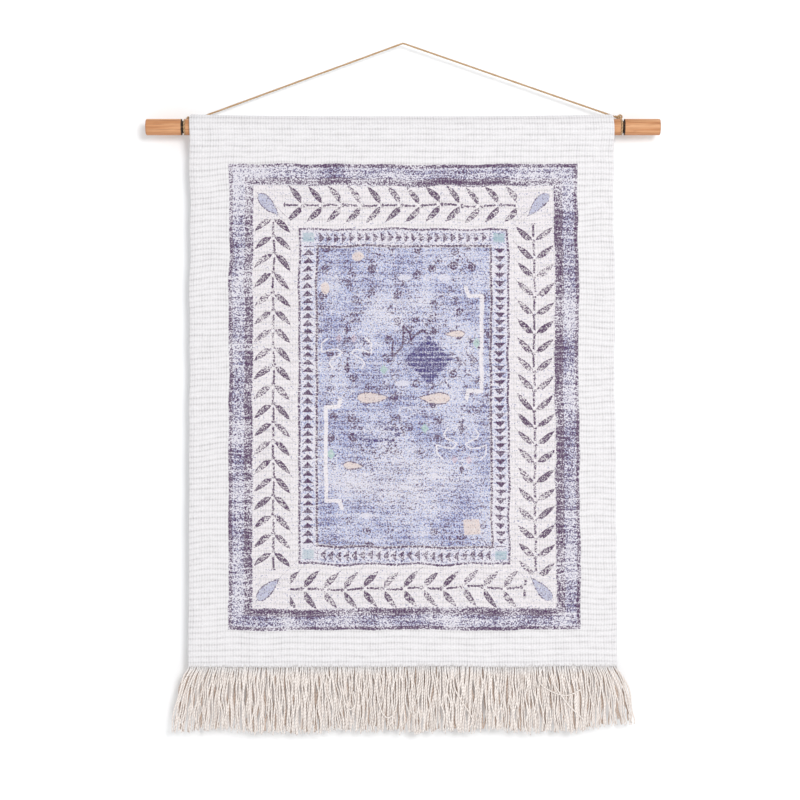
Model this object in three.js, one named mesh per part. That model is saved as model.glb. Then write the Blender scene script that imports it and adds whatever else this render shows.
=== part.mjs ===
// A tapestry wall hanging: a printed cotton cloth whose top edge is folded round a wooden
// dowel and sewn down, a fringe of the cloth's own warp yarns along its lower edge, and a
// twine cord tied into a turned groove near each end of the dowel.
//
// Millimetres. +Z is up, +X runs along the dowel, and the printed face looks to -Y.
// The origin is the underside of the cord at its highest point, where a nail carries it.
import * as THREE from "three";

// Dowel
const dowelRadius = 8;
const dowelOverhang = 44; // past the cloth at each end
const endRound = 1.2; // radius of the rounded rim at each end
const grooveClear = 4.6; // from the cloth's edge to the groove
const grooveWidth = 3.8;
const grooveDepth = 2;

// Cloth
const clothWidth = 420;
const clothThickness = 2.8;
const clothDrop = 532; // from the dowel's axis to the cloth's lower edge
const pocketSlack = 1.2; // between the dowel and the inside of the pocket
const pocketSeamDrop = 27; // from the dowel's axis to the seam that closes the pocket
const pocketAllowance = 9; // cloth below the seam, on the back
const hemFold = 8; // width of the folded side hems

// Sewing thread, drawn as one strip along each row of stitches
const threadWidth = 0.9;
const threadHeight = 0.6;
const stayStitchRise = 4; // from the cloth's lower edge up to the row that stops it fraying

// Fringe
const fringeLength = 67;
const fringeThickness = 3;
const bunchCount = 28; // the yarns are grouped into this many bunches
const fringeFlare = 15; // how far the outermost yarns lean out at their ends

// Cord
const cordRadius = 0.9;
const knotRadius = 3.4;
const knotClear = 1; // between the dowel's surface and a knot
const leftKnotTurn = 62; // degrees from the top of the dowel towards its back
const rightKnotTurn = 40;

const gap = 0.3; // between pieces that lie against each other

const dowelLength = clothWidth + 2 * dowelOverhang;
const grooveAt = clothWidth / 2 + grooveClear + grooveWidth / 2; // from the dowel's middle

// The dowel's axis, from the origin: below it, and forward of it.
const axisZ = -83;
const axisY = -7.6;

// The middle of the cord, from the left knot over the nail to the right knot.
const cordRoute = [
  [-212, 3.3, -75.9],
  [-208, 3.24, -74.4],
  [-200, 3.11, -71.5],
  [-185, 2.88, -66.1],
  [-160, 2.49, -57],
  [-130, 2.02, -46.1],
  [-100, 1.56, -35.2],
  [-70, 1.09, -24.3],
  [-40, 0.62, -13.4],
  [-20, 0.31, -6.12],
  [-8, 0.12, -1.76],
  [-3, 0.05, 0.06],
  [-1.3, 0.02, 0.66],
  [0, 0, 0.9],
  [1.3, 0, 0.68],
  [3, 0.01, 0.11],
  [8, 0.01, -1.62],
  [20, 0.03, -5.78],
  [40, 0.07, -12.7],
  [70, 0.12, -23.1],
  [100, 0.17, -33.5],
  [130, 0.22, -43.9],
  [160, 0.28, -54.3],
  [185, 0.32, -62.9],
  [200, 0.34, -68.1],
  [208, 0.36, -70.9],
  [212, 0.36, -72.3],
];

const wood = new THREE.MeshStandardMaterial({ color: 0xd49b6d, roughness: 0.62, metalness: 0 });
const cotton = new THREE.MeshStandardMaterial({ color: 0xe9e7e8, roughness: 0.95, metalness: 0 });
const thread = new THREE.MeshStandardMaterial({ color: 0xf1efec, roughness: 0.9, metalness: 0 });
const yarn = new THREE.MeshStandardMaterial({ color: 0xe2d5cb, roughness: 0.95, metalness: 0 });
const twine = new THREE.MeshStandardMaterial({ color: 0xb79a78, roughness: 0.9, metalness: 0 });

const hanging = new THREE.Group();

function add(name, geometry, material, x = 0, y = 0, z = 0) {
  const mesh = new THREE.Mesh(geometry, material);
  mesh.name = name;
  mesh.position.set(x, y, z);
  hanging.add(mesh);
  return mesh;
}

// A section drawn as (y, z) and extruded along X, centred on x = 0.
function extrudeAlongX(shape, length, curveSegments) {
  const geometry = new THREE.ExtrudeGeometry(shape, {
    depth: length,
    bevelEnabled: false,
    curveSegments,
  });
  geometry.translate(0, 0, -length / 2);
  const turn = new THREE.Matrix4().makeBasis(
    new THREE.Vector3(0, 1, 0),
    new THREE.Vector3(0, 0, 1),
    new THREE.Vector3(1, 0, 0),
  );
  return geometry.applyMatrix4(turn);
}

// Where the line from an outside point touches a circle round the origin of the section.
// side is -1 for the front of the circle and 1 for the back.
function tangentAngle(point, radius, side) {
  const towards = Math.atan2(point.y, point.x);
  const spread = Math.acos(radius / Math.hypot(point.x, point.y));
  return towards + side * spread;
}

// The dowel: a turned profile with rounded rims and two square grooves.
function makeDowel() {
  const half = dowelLength / 2;
  const rimSteps = 4;
  const profile = [new THREE.Vector2(0, -half)];
  for (let i = 0; i <= rimSteps; i++) {
    const a = (i / rimSteps) * (Math.PI / 2);
    profile.push(
      new THREE.Vector2(
        dowelRadius - endRound + endRound * Math.sin(a),
        -half + endRound - endRound * Math.cos(a),
      ),
    );
  }
  for (const side of [-1, 1]) {
    const low = side * grooveAt - grooveWidth / 2;
    const high = side * grooveAt + grooveWidth / 2;
    profile.push(new THREE.Vector2(dowelRadius, low));
    profile.push(new THREE.Vector2(dowelRadius - grooveDepth, low));
    profile.push(new THREE.Vector2(dowelRadius - grooveDepth, high));
    profile.push(new THREE.Vector2(dowelRadius, high));
  }
  for (let i = rimSteps; i >= 0; i--) {
    const a = (i / rimSteps) * (Math.PI / 2);
    profile.push(
      new THREE.Vector2(
        dowelRadius - endRound + endRound * Math.sin(a),
        half - endRound + endRound * Math.cos(a),
      ),
    );
  }
  profile.push(new THREE.Vector2(0, half));
  const geometry = new THREE.LatheGeometry(profile, 48);
  geometry.rotateZ(-Math.PI / 2);
  add("dowel", geometry, wood, 0, axisY, axisZ);
}

// The cloth in section: a flat panel below the dowel, and a pocket that wraps over the dowel
// and comes down the back to the seam, with the seam allowance below it.
function makeCloth() {
  const half = clothThickness / 2;
  const inner = dowelRadius + pocketSlack;
  const outer = inner + clothThickness;
  const seam = -pocketSeamDrop;
  const frontFoot = new THREE.Vector2(-half, seam);
  const backFoot = new THREE.Vector2(half + clothThickness, seam);
  const frontTop = tangentAngle(frontFoot, outer, -1) + 2 * Math.PI;
  const backTop = tangentAngle(backFoot, outer, 1);

  const section = new THREE.Shape();
  section.moveTo(-half, -clothDrop);
  section.lineTo(half, -clothDrop);
  section.lineTo(half, seam - pocketAllowance);
  section.lineTo(backFoot.x, seam - pocketAllowance);
  section.lineTo(backFoot.x, seam);
  section.absarc(0, 0, outer, backTop, frontTop, false);
  section.lineTo(frontFoot.x, seam);

  const meet = new THREE.Vector2(half, seam + clothThickness);
  const tunnel = new THREE.Path();
  tunnel.absarc(
    0,
    0,
    inner,
    tangentAngle(meet, inner, 1),
    tangentAngle(meet, inner, -1) + 2 * Math.PI,
    false,
  );
  tunnel.lineTo(meet.x, meet.y);
  section.holes.push(tunnel);
  add("tapestry_cloth", extrudeAlongX(section, clothWidth, 22), cotton, 0, axisY, axisZ);
}

// Rows of stitches: each is a strip that lies on the back of the cloth.
function makeStitching() {
  const panelBack = axisY + clothThickness / 2 + gap + threadHeight / 2;
  const allowanceBack = panelBack + clothThickness;
  const clothFoot = axisZ - clothDrop;
  const rowLength = clothWidth - 2 * hemFold;
  add(
    "pocket_seam_thread",
    new THREE.BoxGeometry(clothWidth, threadHeight, threadWidth),
    thread,
    0,
    allowanceBack,
    axisZ - pocketSeamDrop - threadWidth,
  );
  add(
    "stay_stitch_thread",
    new THREE.BoxGeometry(rowLength, threadHeight, threadWidth),
    thread,
    0,
    panelBack,
    clothFoot + stayStitchRise,
  );
  const hemTop = axisZ - pocketSeamDrop - pocketAllowance - gap;
  const hemLength = hemTop - clothFoot;
  for (const [name, side] of [
    ["left_hem_thread", -1],
    ["right_hem_thread", 1],
  ]) {
    add(
      name,
      new THREE.BoxGeometry(threadWidth, threadHeight, hemLength),
      thread,
      side * (clothWidth / 2 - hemFold + threadWidth),
      panelBack,
      hemTop - hemLength / 2,
    );
  }
}

// How far a yarn that leaves the cloth at x leans outwards by its end.
function lean(x) {
  const share = Math.abs(x) / (clothWidth / 2);
  return Math.sign(x) * fringeFlare * share ** 4;
}

// The fringe: bunches side by side, rounded at the top so that they swing under the cloth.
function makeFringe() {
  const half = fringeThickness / 2;
  const pitch = clothWidth / bunchCount;
  const section = new THREE.Shape();
  section.moveTo(-half, -fringeLength);
  section.lineTo(half, -fringeLength);
  section.absarc(0, 0, half, 0, Math.PI, false);
  for (let i = 0; i < bunchCount; i++) {
    const geometry = extrudeAlongX(section, pitch - gap, 6);
    geometry.translate((i + 0.5) * pitch - clothWidth / 2, 0, 0);
    const points = geometry.getAttribute("position");
    for (let k = 0; k < points.count; k++) {
      const down = Math.max(0, -points.getZ(k) / fringeLength);
      points.setX(k, points.getX(k) + lean(points.getX(k)) * down);
    }
    const name = `fringe_bunch_${String(i + 1).padStart(2, "0")}`;
    add(name, geometry, yarn, 0, axisY, axisZ - clothDrop - gap - half);
  }
}

// The cord's run over the nail, from knot to knot.
function makeCordRun() {
  const points = cordRoute.map(([x, y, z]) => new THREE.Vector3(x, y, z));
  const route = new THREE.CatmullRomCurve3(points, false, "centripetal");
  const round = new THREE.Shape();
  round.absarc(0, 0, cordRadius, 0, 2 * Math.PI, false);
  const geometry = new THREE.ExtrudeGeometry(round, {
    steps: 80,
    curveSegments: 4,
    extrudePath: route,
  });
  add("hanging_cord", geometry, twine);
}

// The turn of cord in a groove, and the knot that ties it, above and behind the dowel.
function makeTies() {
  const ringRadius = dowelRadius - grooveDepth + gap + cordRadius;
  const ringAt = grooveAt - grooveWidth / 2 + gap + cordRadius;
  const knotReach = dowelRadius + knotClear + knotRadius;
  const section = [];
  for (let i = 0; i <= 8; i++) {
    const a = (i / 8) * 2 * Math.PI;
    section.push(
      new THREE.Vector2(ringRadius + cordRadius * Math.cos(a), cordRadius * Math.sin(a)),
    );
  }
  for (const [word, side, degrees] of [
    ["left", -1, leftKnotTurn],
    ["right", 1, rightKnotTurn],
  ]) {
    const ring = new THREE.LatheGeometry(section, 32);
    ring.rotateZ(-Math.PI / 2);
    add(`${word}_cord_turn`, ring, twine, side * ringAt, axisY, axisZ);

    const knot = new THREE.SphereGeometry(knotRadius, 16, 10);
    const turn = THREE.MathUtils.degToRad(degrees);
    const knotY = axisY + knotReach * Math.sin(turn);
    const knotZ = axisZ + knotReach * Math.cos(turn);
    add(`${word}_knot`, knot, twine, side * (ringAt - gap), knotY, knotZ);
  }
}

makeDowel();
makeCloth();
makeStitching();
makeFringe();
makeCordRun();
makeTies();

export default hanging;
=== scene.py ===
import math

import bpy
import numpy as np
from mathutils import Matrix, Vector


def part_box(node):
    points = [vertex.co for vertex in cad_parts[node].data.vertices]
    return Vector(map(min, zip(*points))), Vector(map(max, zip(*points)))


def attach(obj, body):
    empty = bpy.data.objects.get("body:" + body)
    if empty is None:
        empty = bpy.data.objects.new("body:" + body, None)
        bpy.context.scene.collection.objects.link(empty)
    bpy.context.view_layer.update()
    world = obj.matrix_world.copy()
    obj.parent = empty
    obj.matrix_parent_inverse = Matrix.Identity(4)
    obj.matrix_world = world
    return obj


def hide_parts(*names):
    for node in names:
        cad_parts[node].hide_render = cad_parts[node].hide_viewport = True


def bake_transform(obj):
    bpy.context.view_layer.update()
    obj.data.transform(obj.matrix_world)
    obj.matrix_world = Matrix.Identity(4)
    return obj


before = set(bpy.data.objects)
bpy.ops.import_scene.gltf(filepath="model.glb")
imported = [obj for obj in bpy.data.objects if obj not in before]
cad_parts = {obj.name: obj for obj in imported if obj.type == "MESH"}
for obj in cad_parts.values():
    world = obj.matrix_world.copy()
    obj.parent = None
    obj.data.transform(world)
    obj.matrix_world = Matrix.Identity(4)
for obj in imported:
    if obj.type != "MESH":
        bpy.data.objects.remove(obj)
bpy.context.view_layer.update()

mm = 0.001


def boxOf(name):
    return [np.array(corner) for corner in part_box(name)]


dowelLow, dowelHigh = boxOf("dowel")
axisY, axisZ = (dowelLow[1:] + dowelHigh[1:]) / 2
footZ = boxOf("tapestry_cloth")[0][2]


def say(words):
    print("tapestry:", words, flush=True)


view = {
    "lens": 90.0,
    "away": 1.984,  # from the origin's plane, metres
    "aim": (-0.003, -0.3527),
}

camera = bpy.data.objects.new("camera", bpy.data.cameras.new("camera"))
camera.data.lens = view["lens"]
camera.data.sensor_width = 36.0
camera.data.clip_start = 0.01
camera.location = (view["aim"][0], -view["away"], view["aim"][1])
camera.rotation_euler = (math.pi / 2, 0, 0)
bpy.context.scene.collection.objects.link(camera)
bpy.context.scene.camera = camera
bpy.context.scene.view_settings.view_transform = "Standard"


def setInput(tree, socket, value):
    # a value is a socket to link or a plain number, vector or colour
    if isinstance(value, bpy.types.NodeSocket):
        tree.links.new(value, socket)
    elif value is not None:
        socket.default_value = value


def node(tree, kind, **settings):
    made = tree.nodes.new(kind)
    for name, value in settings.items():
        setattr(made, name, value)
    return made


def calc(tree, operation, a, b=None, c=None, clamp=False):
    made = node(tree, "ShaderNodeMath", operation=operation, use_clamp=clamp)
    for socket, value in zip(made.inputs, (a, b, c)):
        setInput(tree, socket, value)
    return made.outputs[0]


def ramp(tree, value, low, high, toLow=0.0, toHigh=1.0):
    # a smooth step from toLow at low to toHigh at high
    made = node(tree, "ShaderNodeMapRange", interpolation_type="SMOOTHSTEP")
    for name, number in zip(("Value", "From Min", "From Max", "To Min", "To Max"),
                            (value, low, high, toLow, toHigh)):
        setInput(tree, made.inputs[name], number)
    return made.outputs["Result"]


def tint(tree, amount, under, over, mode="MIX"):
    made = node(tree, "ShaderNodeMix", data_type="RGBA", blend_type=mode)
    setInput(tree, made.inputs[0], amount)
    setInput(tree, made.inputs[6], under)
    setInput(tree, made.inputs[7], over)
    return made.outputs[2]


def noise(tree, place, scale, stretch=(1, 1, 1), detail=2.0, roughness=0.5, shift=0.0):
    spread = node(tree, "ShaderNodeMapping", vector_type="POINT")
    setInput(tree, spread.inputs["Vector"], place)
    spread.inputs["Scale"].default_value = stretch
    spread.inputs["Location"].default_value = (shift, shift * 0.7, shift * 0.3)
    made = node(tree, "ShaderNodeTexNoise")
    tree.links.new(spread.outputs[0], made.inputs["Vector"])
    made.inputs["Scale"].default_value = scale
    made.inputs["Detail"].default_value = detail
    made.inputs["Roughness"].default_value = roughness
    return made.outputs[0]


def split(tree, vector):
    made = node(tree, "ShaderNodeSeparateXYZ")
    tree.links.new(vector, made.inputs[0])
    return made.outputs[0], made.outputs[1], made.outputs[2]


class Maths:
    # arithmetic nodes on one tree
    def __init__(self, tree):
        self.tree = tree

    def add(self, a, b):
        return calc(self.tree, "ADD", a, b)

    def sub(self, a, b):
        return calc(self.tree, "SUBTRACT", a, b)

    def mul(self, a, b):
        return calc(self.tree, "MULTIPLY", a, b)

    def div(self, a, b, clamp=False):
        return calc(self.tree, "DIVIDE", a, b, clamp=clamp)

    def most(self, *values):
        total = values[0]
        for value in values[1:]:
            total = calc(self.tree, "MAXIMUM", total, value)
        return total

    def size(self, a):
        return calc(self.tree, "ABSOLUTE", a)

    def sign(self, a):
        return calc(self.tree, "SIGN", a)

    def length(self, a, b):
        # of the vector (a, b)
        return calc(self.tree, "SQRT", self.add(self.mul(a, a), self.mul(b, b)))

    def humps(self, a):
        # the size of sin a: a row of round humps, one for each half turn
        return self.size(calc(self.tree, "SINE", a))

    def rise(self, value, low, high):
        return ramp(self.tree, value, low, high)

    def fall(self, value, low, high):
        return ramp(self.tree, value, low, high, 1.0, 0.0)

    def within(self, value, low, high, soft=0.5):
        return self.mul(self.rise(value, low - soft, low + soft),
                        self.fall(value, high - soft, high + soft))

    def mix(self, share, a, b):
        # a where share is 0, b where it is 1
        return self.add(a, self.mul(share, b - a))


def colour(red, green, blue):
    # a display colour, 0 to 255, as linear light
    def linear(value):
        value /= 255
        return value / 12.92 if value < 0.04045 else ((value + 0.055) / 1.055) ** 2.4
    return (linear(red), linear(green), linear(blue), 1.0)


def startGroup(name, inputs, outputs):
    tree = bpy.data.node_groups.new(name, "ShaderNodeTree")
    for label, kind, value in inputs:
        socket = tree.interface.new_socket(label, in_out="INPUT", socket_type="NodeSocket" + kind)
        if value is not None:
            socket.default_value = value
    for label, kind in outputs:
        tree.interface.new_socket(label, in_out="OUTPUT", socket_type="NodeSocket" + kind)
    inward = tree.nodes.new("NodeGroupInput")
    outward = tree.nodes.new("NodeGroupOutput")
    return tree, inward.outputs, outward.inputs


def useGroup(tree, group, **values):
    made = node(tree, "ShaderNodeGroup", node_tree=group)
    for name, value in values.items():
        setInput(tree, made.inputs[name], value)
    return made.outputs


def newMaterial(name, roughness=0.9, specular=0.2, sheen=0.0):
    material = bpy.data.materials.new(name)
    material.use_nodes = True
    tree = material.node_tree
    shader = tree.nodes["Principled BSDF"]
    shader.inputs["Roughness"].default_value = roughness
    shader.inputs["Specular IOR Level"].default_value = specular
    shader.inputs["Sheen Weight"].default_value = sheen
    return material, tree, shader


def addBump(tree, shader, height, distance, strength=1.0):
    bump = node(tree, "ShaderNodeBump")
    bump.inputs["Strength"].default_value = strength
    bump.inputs["Distance"].default_value = distance
    setInput(tree, bump.inputs["Height"], height)
    tree.links.new(bump.outputs[0], shader.inputs["Normal"])


def attribute(tree, name):
    made = node(tree, "ShaderNodeAttribute", attribute_name=name)
    return made.outputs["Vector"]


def objectPlace(tree):
    return node(tree, "ShaderNodeTexCoord").outputs["Object"]


def pieceFromArrays(name, points, faces, material, smooth=True, attributes=None):
    mesh = bpy.data.meshes.new(name)
    mesh.from_pydata(points.tolist(), [], faces)
    mesh.polygons.foreach_set("use_smooth", np.full(len(mesh.polygons), smooth))
    for label, values in (attributes or {}).items():
        layer = mesh.attributes.new(label, "FLOAT_VECTOR", "POINT")
        layer.data.foreach_set("vector", np.asarray(values, dtype=np.float32).ravel())
    mesh.update()
    piece = bpy.data.objects.new(name, mesh)
    bpy.context.scene.collection.objects.link(piece)
    mesh.materials.append(material)
    return piece


def sideVectors(paths, reference):
    # two unit vectors square to each path: across = along x reference, and up = across x along
    along = np.gradient(paths, axis=1)
    along /= np.linalg.norm(along, axis=2, keepdims=True)
    across = np.cross(along, np.broadcast_to(reference, paths.shape))
    across /= np.linalg.norm(across, axis=2, keepdims=True)
    return across, np.cross(across, along)


def yarnArrays(paths, radii, sides, reference, plies=0, twist=0.0, groove=0.0):
    # paths is yarns x steps x 3. A point = path + radius * ply * (cos a * across + sin a * up),
    # where ply = 1 - groove * (1 - |cos(plies / 2 * (a - twist * length along))|).
    count, steps, _ = paths.shape
    across, up = sideVectors(paths, reference)
    run = np.cumsum(np.linalg.norm(np.diff(paths, axis=1, prepend=paths[:, :1]), axis=2), axis=1)
    angle = np.linspace(0, 2 * np.pi, sides, endpoint=False)
    ply = 1 - groove * (1 - np.abs(np.cos(plies / 2 * (angle - twist * run[..., None]))))
    size = (radii[..., None] * ply)[..., None]
    ring = (paths[:, :, None] + size * (np.cos(angle)[:, None] * across[:, :, None]
                                        + np.sin(angle)[:, None] * up[:, :, None]))
    place = np.empty(ring.shape)
    place[..., 0] = run[..., None] / mm
    place[..., 1] = angle / (2 * np.pi)
    place[..., 2] = np.arange(count)[:, None, None]
    i, j = np.meshgrid(np.arange(steps - 1), np.arange(sides), indexing="ij")
    k = (j + 1) % sides
    quad = np.stack([i * sides + j, i * sides + k, (i + 1) * sides + k, (i + 1) * sides + j], -1)
    quad = quad.reshape(-1, 4)
    block = steps * sides + 2
    first, last = steps * sides, steps * sides + 1
    ringEnd = (steps - 1) * sides
    turn = np.arange(sides)
    nextTurn = (turn + 1) % sides
    capA = np.stack([np.full(sides, first), nextTurn, turn], -1)
    capB = np.stack([np.full(sides, last), ringEnd + turn, ringEnd + nextTurn], -1)
    points = np.concatenate([ring.reshape(count, -1, 3), paths[:, :1], paths[:, -1:]], axis=1)
    ends = np.zeros((count, 2, 3))
    ends[:, 1, 0] = run[:, -1] / mm
    ends[..., 2] = np.arange(count)[:, None]
    marks = np.concatenate([place.reshape(count, -1, 3), ends], axis=1)
    base = (np.arange(count) * block)[:, None, None]
    quads = (quad + base).reshape(-1, 4)
    caps = (np.concatenate([capA, capB]) + base).reshape(-1, 3)
    return points.reshape(-1, 3), quads, caps, marks.reshape(-1, 3)


def yarnPiece(name, paths, radii, material, sides=6, reference=(0, 1, 0), **twistValues):
    paths = np.asarray(paths, dtype=float)
    radii = np.broadcast_to(radii, paths.shape[:2])
    reference = np.asarray(reference, dtype=float)
    points, quads, caps, marks = yarnArrays(paths, radii, sides, reference, **twistValues)
    return pieceFromArrays(name, points, quads.tolist() + caps.tolist(), material,
                           attributes={"yarnPlace": marks})


def smoothPath(points, steps):
    # a Catmull-Rom curve through the points, then even steps along it
    knots = np.asarray(points, dtype=float)
    ends = np.concatenate([[2 * knots[0] - knots[1]], knots, [2 * knots[-1] - knots[-2]]])
    t = np.linspace(0, 1, 24, endpoint=False)[:, None, None]
    a, b, c, d = ends[:-3], ends[1:-2], ends[2:-1], ends[3:]
    curve = 0.5 * (2 * b + (c - a) * t + (2 * a - 5 * b + 4 * c - d) * t**2
                   + (3 * b - a - 3 * c + d) * t**3)
    curve = np.concatenate([curve.transpose(1, 0, 2).reshape(-1, 3), knots[-1:]])
    run = np.concatenate([[0], np.cumsum(np.linalg.norm(np.diff(curve, axis=0), axis=1))])
    even = np.linspace(0, run[-1], steps)
    return np.stack([np.interp(even, run, curve[:, n]) for n in range(3)], axis=1)


def wander(rng, shape, waves, along, low, high):
    # a sum of sines with random phase and wavelength, one row per yarn
    total = np.zeros(shape)
    for _ in range(waves):
        length = rng.uniform(low, high, (shape[0], 1))
        phase = rng.uniform(0, 2 * np.pi, (shape[0], 1))
        total += np.sin(2 * np.pi * along / length + phase) / waves
    return total


def makeTwistGroup():
    # stripes that run round a yarn as it is twisted, from yarnPlace: length in mm, turn 0 to 1
    tree, given, out = startGroup(
        "yarnTwist",
        [("Place", "Vector", None), ("Plies", "Float", 2.0), ("Pitch", "Float", 4.0),
         ("Loose", "Float", 0.15)],
        [("Groove", "Float"), ("Fibre", "Float"), ("Each", "Float")])
    m = Maths(tree)
    run, turn, each = split(tree, given["Place"])
    spread = node(tree, "ShaderNodeTexWhiteNoise", noise_dimensions="1D")
    tree.links.new(calc(tree, "ROUND", each), spread.inputs["W"])
    loose = noise(tree, given["Place"], 0.6, (1, 3, 1))
    phase = m.add(m.mul(turn, given["Plies"]), m.div(run, given["Pitch"]))
    phase = m.add(phase, m.mul(loose, given["Loose"]))
    phase = m.add(phase, m.mul(spread.outputs["Value"], 5.0))
    tree.links.new(m.rise(m.humps(m.mul(phase, math.pi)), 0.0, 0.55), out["Groove"])
    # fibres are long dashes that lean a little round the yarn
    joined = node(tree, "ShaderNodeCombineXYZ")
    around = m.mul(m.sub(turn, m.mul(run, 0.08)), 9)
    for socket, value in zip(joined.inputs, (m.mul(run, 0.7), around, each)):
        setInput(tree, socket, value)
    tree.links.new(noise(tree, joined.outputs[0], 1.0, detail=3), out["Fibre"])
    tree.links.new(spread.outputs["Value"], out["Each"])
    return tree


twistGroup = makeTwistGroup()


def makeYarnMaterial(name, pale, deep, dirt, pitch=3.4, bumpDistance=0.0002, sheen=0.25, root=None):
    # pitch is in mm, and root is the colour of a yarn's first few millimetres
    material, tree, shader = newMaterial(name, 0.92, 0.15, sheen)
    m = Maths(tree)
    yarnPlace = attribute(tree, "yarnPlace")
    twist = useGroup(tree, twistGroup, Place=yarnPlace, Plies=2.0, Pitch=pitch)
    # painted shade: the grooves between plies take the deep colour, the crowns the pale one
    shade = tint(tree, twist["Groove"], colour(*deep), colour(*pale))
    shade = tint(tree, ramp(tree, twist["Fibre"], 0.35, 0.7, 0.0, 0.45), shade, colour(*dirt))
    shade = tint(tree, ramp(tree, twist["Each"], 0.0, 1.0, 0.0, 0.3), shade, colour(*dirt))
    if root:
        nearRoot = ramp(tree, split(tree, yarnPlace)[0], 2.0, 11.0, 0.75, 0.0)
        shade = tint(tree, nearRoot, shade, colour(*root))
    tree.links.new(shade, shader.inputs["Base Color"])
    tree.links.new(ramp(tree, twist["Fibre"], 0.2, 0.8, 0.98, 0.8), shader.inputs["Roughness"])
    addBump(tree, shader, m.add(twist["Groove"], m.mul(twist["Fibre"], 0.6)), bumpDistance)
    return material


# pale is a ply's crown, deep the painted shade in the groove between plies, and dirt a darker fibre
twineMaterial = makeYarnMaterial(
    "twistedTwine", pale=(208, 176, 136), deep=(128, 94, 62), dirt=(168, 130, 92),
    bumpDistance=0.00025, sheen=0.15)
fringeMaterial = makeYarnMaterial(
    "looseWarpYarn", pale=(250, 243, 238), deep=(224, 210, 202), dirt=(226, 214, 206),
    root=(238, 236, 236))
# a darker copy of the fringe yarn: painted shade for the back layer, seen through the gaps between the
# front yarns
shadedInnerYarnMaterial = makeYarnMaterial(
    "shadedInnerWarpYarn", pale=(214, 195, 182), deep=(176, 152, 136), dirt=(196, 175, 160))
threadMaterial = makeYarnMaterial(
    "sewingThread", pale=(246, 245, 243), deep=(196, 192, 188), dirt=(228, 225, 222),
    pitch=1.1, bumpDistance=0.00008, sheen=0.1)

cord = {
    "diameter": 0.0018,
    # millimetres, the same points as the solid's
    "route": [
        (-212, 3.3, -75.9), (-208, 3.24, -74.4), (-200, 3.11, -71.5), (-185, 2.88, -66.1),
        (-160, 2.49, -57), (-130, 2.02, -46.1), (-100, 1.56, -35.2), (-70, 1.09, -24.3),
        (-40, 0.62, -13.4), (-20, 0.31, -6.12), (-8, 0.12, -1.76), (-3, 0.05, 0.06),
        (-1.3, 0.02, 0.66), (0, 0, 0.9), (1.3, 0, 0.68), (3, 0.01, 0.11), (8, 0.01, -1.62),
        (20, 0.03, -5.78), (40, 0.07, -12.7), (70, 0.12, -23.1), (100, 0.17, -33.5),
        (130, 0.22, -43.9), (160, 0.28, -54.3), (185, 0.32, -62.9), (200, 0.34, -68.1),
        (208, 0.36, -70.9), (212, 0.36, -72.3),
    ],
    "twist": 2 * math.pi / 0.0068,  # radians per metre
    "steps": 460,
    "hairs": 260,
    "hairLong": (0.8 * mm, 2.6 * mm),
}


def makeCord():
    path = smoothPath(np.array(cord["route"]) * mm, cord["steps"])
    # thick and thin places along the twine
    rng = np.random.default_rng(5)
    at = np.linspace(0, 460, cord["steps"])[None]
    slub = 1 + 0.13 * wander(rng, (1, cord["steps"]), 5, at, 9, 40)
    run = yarnPiece("cordRun", path[None], cord["diameter"] / 2 * 1.06 * slub, twineMaterial, sides=12,
                    plies=2, twist=cord["twist"], groove=0.24)
    # stray fibres leave the twine at random: root + out * (0.36 diameters + 0.6 s * length)
    # + lean * 0.9 s^2 * length, where s runs from 0 to 1
    rng = np.random.default_rng(6)
    count = cord["hairs"]
    at = rng.integers(8, cord["steps"] - 8, count)
    angle = rng.uniform(0, 2 * np.pi, count)
    out = np.stack([0.25 * rng.normal(size=count), np.cos(angle), np.sin(angle)], 1)[:, None]
    along = path[at + 2] - path[at - 2]
    along /= np.linalg.norm(along, axis=1, keepdims=True)
    length = rng.uniform(*cord["hairLong"], count)[:, None, None]
    share = np.linspace(0, 1, 4)
    step = share[None, :, None]
    lean = (along * rng.choice([-1, 1], (count, 1)))[:, None]
    paths = (path[at][:, None] + out * (cord["diameter"] * 0.36 + length * step * 0.6)
             + lean * length * step**2 * 0.9)
    hairs = yarnPiece("cordHairs", paths, 0.00005 * (1.1 - share), twineMaterial, sides=3,
                      reference=(0.3, 0.2, 1))
    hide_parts("hanging_cord")
    for piece in (run, hairs):
        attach(piece, "cord")
    return run, hairs, path


cordRun, cordHairs, cordPath = makeCord()
say("cord made")

tie = {
    "turnRadius": 7.2 * mm,
    "turns": 1.04,
    # name, side, how far round the dowel in degrees, how much the knot rides up and in towards
    # the cloth, and its length
    "sides": [
        ("left", -1, 62.0, 3.9 * mm, 3.0 * mm, 4.6 * mm),
        ("right", 1, 40.0, 1.3 * mm, 1.5 * mm, 6.6 * mm),
    ],
    "knotHigh": 4.4 * mm,
    "knotDeep": 1.0 * mm,
    "tailFrom": 1.4 * mm,
    "tailLong": 5.6 * mm,
}


def makeTurn(word, side, degrees, middleX):
    # one turn of a loose helix against the groove's wall nearest the cloth
    angle = np.linspace(0, 2 * np.pi * tie["turns"], 90) + math.radians(degrees)
    radius = tie["turnRadius"]
    path = np.stack([middleX + side * (0.0004 * (angle - angle[0]) / (2 * np.pi) - 0.0003),
                     axisY + radius * np.sin(angle), axisZ + radius * np.cos(angle)], 1)
    turn = yarnPiece(word + "CordTurn", path[None], cord["diameter"] / 2, twineMaterial, sides=10,
                     reference=(1, 0, 0), plies=2, twist=cord["twist"], groove=0.24)
    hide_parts(word + "_cord_turn")
    return turn


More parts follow.
